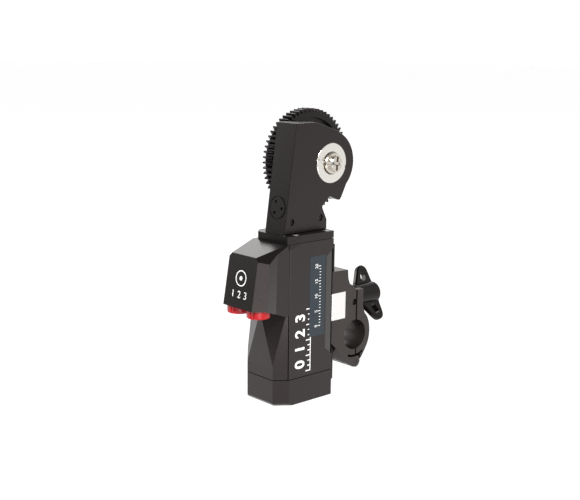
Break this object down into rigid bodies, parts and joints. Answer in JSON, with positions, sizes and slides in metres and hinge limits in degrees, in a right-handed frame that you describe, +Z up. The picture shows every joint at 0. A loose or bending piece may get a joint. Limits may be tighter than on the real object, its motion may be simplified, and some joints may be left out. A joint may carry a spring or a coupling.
{
  "type": "lens focus motor",
  "caption": "Upright motor housing with a slanted arm, a toothed drive gear at its top, a control box with a button and capped sockets in front, and a hinged rod clamp behind.",
  "frame": {"origin": "centre of the underside of the base, on the housing's middle plane", "axes": "+Z up along the housing, -Y toward the control box, +Y toward the rod clamp, +X toward the label and the round retainer"},
  "size_m": [0.0305, 0.0903, 0.1365],
  "materials": {
    "black_anodised": "black anodised, satin",
    "black_arm": "black anodised, satin",
    "black_rail": "black anodised, satin",
    "clamp_black": "dark grey anodised, satin",
    "knob_black": "black, slightly glossy",
    "black_gear": "black, moulded",
    "black_plastic": "black",
    "white_plastic": "white",
    "red_rubber": "red, slightly glossy",
    "seal_rubber": "black",
    "label_film": "dark slate film",
    "clear_ring": "milky",
    "circuit_board": "solder mask",
    "socket_metal": "plated",
    "motor_steel": "brushed",
    "bright_steel": "ground",
    "dark_steel": "black oxide",
    "nickel": "turned, bright",
    "bright_aluminium": "bright, fine milled",
    "brass_gears": "machined"
  },
  "bodies": {
    "housing": {"main_housing": "black_anodised", "front_shell": "black_anodised", "base_cap": "black_anodised", "base_seal": "seal_rubber", "front_seal": "seal_rubber", "base_screws": "dark_steel", "flange_screws": "dark_steel", "side_label": "label_film", "light_ring": "clear_ring", "switch_board": "circuit_board", "control_board": "circuit_board", "sockets": "socket_metal", "motor_can": "motor_steel", "gearhead": "motor_steel", "encoder_board": "circuit_board", "arm_housing": "black_arm", "arm_cover": "black_arm", "arm_screws": "dark_steel", "front_plug": "black_arm", "lay_pin": "bright_steel", "idler_pin": "bright_steel", "bearing_outer_rings": "bright_steel", "bearing_balls": "bright_steel", "bearing_retainer": "nickel", "rear_rail": "black_rail", "rail_screws": "dark_steel"},
    "drive": {"drive_gear": "black_gear", "gear_hub": "bright_steel", "gear_screws": "dark_steel", "shaft_end_screw": "dark_steel", "output_shaft": "bright_steel", "output_gear": "brass_gears", "bearing_inner_rings": "bright_steel", "shaft_collet": "nickel", "collet_screw": "bright_steel"},
    "idler": {"idler_gear": "brass_gears"},
    "lay": {"lay_shaft": "brass_gears"},
    "pinion": {"bevel_pinion": "brass_gears"},
    "rotor": {"rotor_shaft": "bright_steel", "encoder_disc": "bright_steel"},
    "button": {"push_button": "black_plastic", "button_dot": "white_plastic"},
    "cap_left": {"dust_cap_left": "red_rubber"},
    "cap_right": {"dust_cap_right": "red_rubber"},
    "clamp": {"clamp_console": "clamp_black", "hinge_pin": "dark_steel", "pivot_pin": "dark_steel", "release_spring": "bright_steel"},
    "release": {"release_block": "bright_aluminium"},
    "bolt": {"swing_screw": "bright_steel"},
    "washer": {"thrust_washer": "dark_steel"},
    "knob": {"clamp_knob": "knob_black"},
    "jaw": {"clamp_jaw": "clamp_black"}
  },
  "joints": [
    {"name": "drive_spin", "type": "hinge", "parent": "housing", "child": "drive", "pos_m": [0, 0.01935, 0.11175], "axis": [1, 0, 0], "continuous": true},
    {"name": "idler_spin", "type": "hinge", "parent": "housing", "child": "idler", "pos_m": [0, 0.00801, 0.09909], "axis": [1, 0, 0], "continuous": true},
    {"name": "lay_spin", "type": "hinge", "parent": "housing", "child": "lay", "pos_m": [0, 0.002, 0.09239], "axis": [1, 0, 0], "continuous": true},
    {"name": "pinion_spin", "type": "hinge", "parent": "housing", "child": "pinion", "pos_m": [0, 0.002, 0.09239], "axis": [0, 0, 1], "continuous": true},
    {"name": "rotor_spin", "type": "hinge", "parent": "housing", "child": "rotor", "pos_m": [0, 0.002, 0.024], "axis": [0, 0, 1], "continuous": true},
    {"name": "button_press", "type": "slide", "parent": "housing", "child": "button", "axis": [0, 0.9872, -0.1597], "range_m": [0, 0.0006], "stiffness_N_per_m": 500},
    {"name": "cap_left_pull", "type": "slide", "parent": "housing", "child": "cap_left", "axis": [0, 0, -1], "range_m": [0, 0.006]},
    {"name": "cap_right_pull", "type": "slide", "parent": "housing", "child": "cap_right", "axis": [0, 0, -1], "range_m": [0, 0.006]},
    {"name": "clamp_slide", "type": "slide", "parent": "housing", "child": "clamp", "axis": [0, 0, 1], "range_m": [-0.004, 0.012]},
    {"name": "release_press", "type": "slide", "parent": "clamp", "child": "release", "axis": [-1, 0, 0], "range_m": [0, 0.0006], "stiffness_N_per_m": 800},
    {"name": "bolt_swing", "type": "hinge", "parent": "clamp", "child": "bolt", "pos_m": [0, 0.0349, 0.0424], "axis": [1, 0, 0], "range_deg": [0, 45]},
    {"name": "washer_slide", "type": "slide", "parent": "bolt", "child": "washer", "axis": [0, 1, 0], "range_m": [0, 0.00301]},
    {"name": "knob_turn", "type": "hinge", "parent": "washer", "child": "knob", "pos_m": [0, 0.0349, 0.0424], "axis": [0, 1, 0], "range_deg": [0, 1542.8]},
    {"name": "jaw_swing", "type": "hinge", "parent": "clamp", "child": "jaw", "pos_m": [0, 0.0365, 0.0118], "axis": [-1, 0, 0], "range_deg": [0, 5.67]}
  ],
  "couplings": [
    {"joint": "idler_spin", "follows": "drive_spin", "ratio": -1.8333},
    {"joint": "lay_spin", "follows": "drive_spin", "ratio": 3.6667},
    {"joint": "pinion_spin", "follows": "drive_spin", "ratio": 6.7222},
    {"joint": "rotor_spin", "follows": "drive_spin", "ratio": 26.889},
    {"joint": "washer_slide", "follows": "knob_turn", "m_per_rad": 0.00011141},
    {"joint": "jaw_swing", "follows": "knob_turn", "ratio": 0.0036408}
  ]
}
